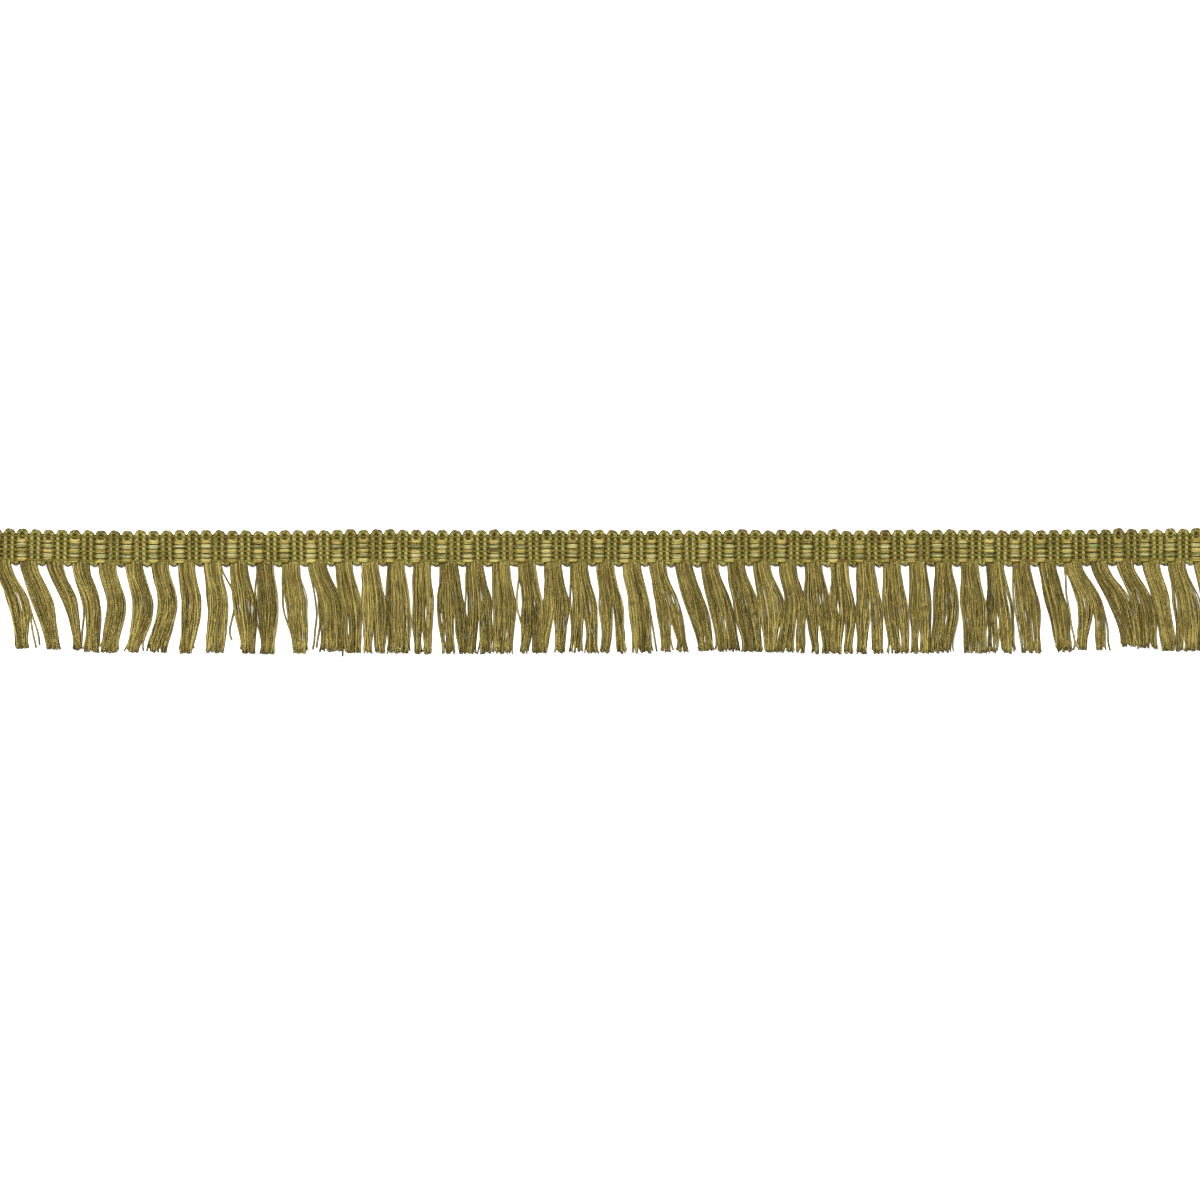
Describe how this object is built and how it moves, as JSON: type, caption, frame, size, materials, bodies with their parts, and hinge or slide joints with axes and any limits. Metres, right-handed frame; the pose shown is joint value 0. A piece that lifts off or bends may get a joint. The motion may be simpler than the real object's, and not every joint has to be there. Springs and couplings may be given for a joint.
{
  "type": "cut length of woven fringe trim",
  "caption": "Narrow braided trim with picot loops along one edge and a skirt of cut yarn locks along the other, lying flat with its face up.",
  "frame": {"origin": "on the heading's flat back, in the middle of its length and near the middle of its cloth's width", "axes": "+X along the trim, +Y across it towards the picots, +Z out of its face"},
  "size_m": [0.3321, 0.0331, 0.0019],
  "materials": {
    "braid": "olive twisted cord with yellow and sage floats, woven, soft sheen",
    "fringe": "olive yarn, cut, soft sheen"
  },
  "bodies": {
    "root": {"heading": "braid", "fringe": "fringe"}
  },
  "joints": []
}
